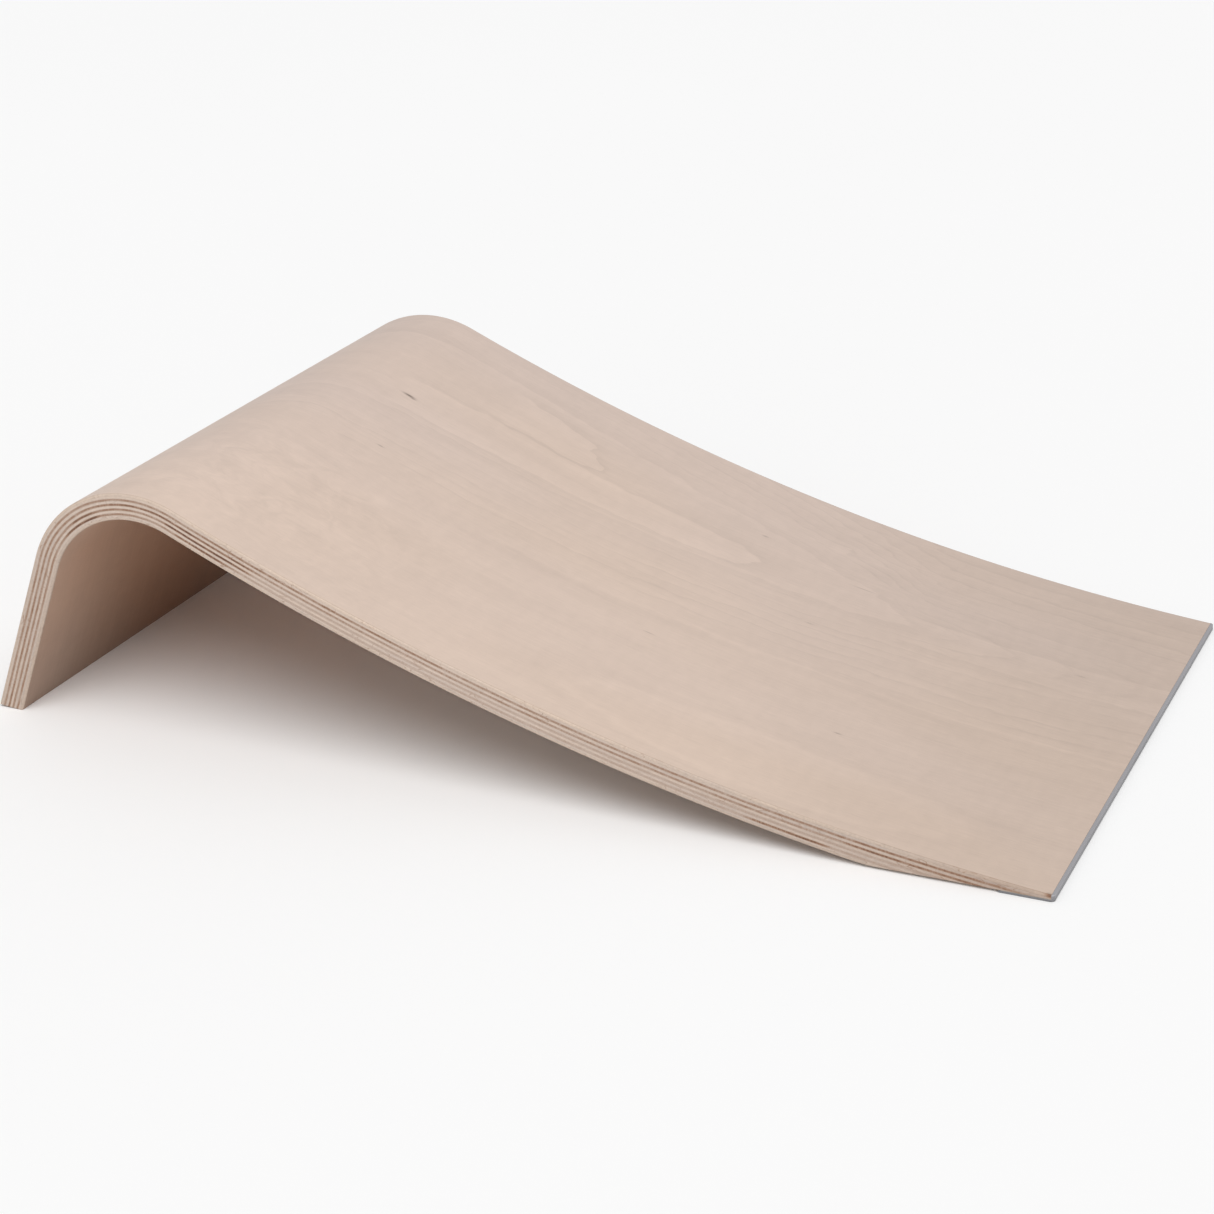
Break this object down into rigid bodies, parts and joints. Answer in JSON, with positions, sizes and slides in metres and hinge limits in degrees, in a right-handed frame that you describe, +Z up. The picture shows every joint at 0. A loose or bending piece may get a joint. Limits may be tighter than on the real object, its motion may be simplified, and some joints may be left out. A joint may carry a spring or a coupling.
{
  "type": "transfer board",
  "caption": "Bent plywood transfer board on one splayed leg, its deck swept down to a thin tip with a metal edge, for sliding across between two seats.",
  "frame": {"origin": "on the floor, in the middle of the board's footprint", "axes": "+X along the board from the leg to the thin tip, +Z up, +Y across the board"},
  "size_m": [0.529, 0.3, 0.122],
  "materials": {
    "face_veneer": "clear satin lacquer on pale birch",
    "long_grain_veneer": "sanded and lacquered edge, pale",
    "cross_veneer": "sanded and lacquered end grain, darker",
    "edge_metal": "satin anodised",
    "bonding_tape": "translucent acrylic adhesive tape"
  },
  "bodies": {
    "root": {"top_face_veneer": "face_veneer", "long_grain_veneer_1": "long_grain_veneer", "cross_veneer_1": "cross_veneer", "long_grain_veneer_2": "long_grain_veneer", "cross_veneer_2": "cross_veneer", "long_grain_veneer_3": "long_grain_veneer", "cross_veneer_3": "cross_veneer", "long_grain_veneer_4": "long_grain_veneer", "cross_veneer_4": "cross_veneer", "long_grain_veneer_5": "long_grain_veneer", "under_face_veneer": "face_veneer", "edge_profile": "edge_metal", "edge_bonding_tape": "bonding_tape"}
  },
  "joints": []
}
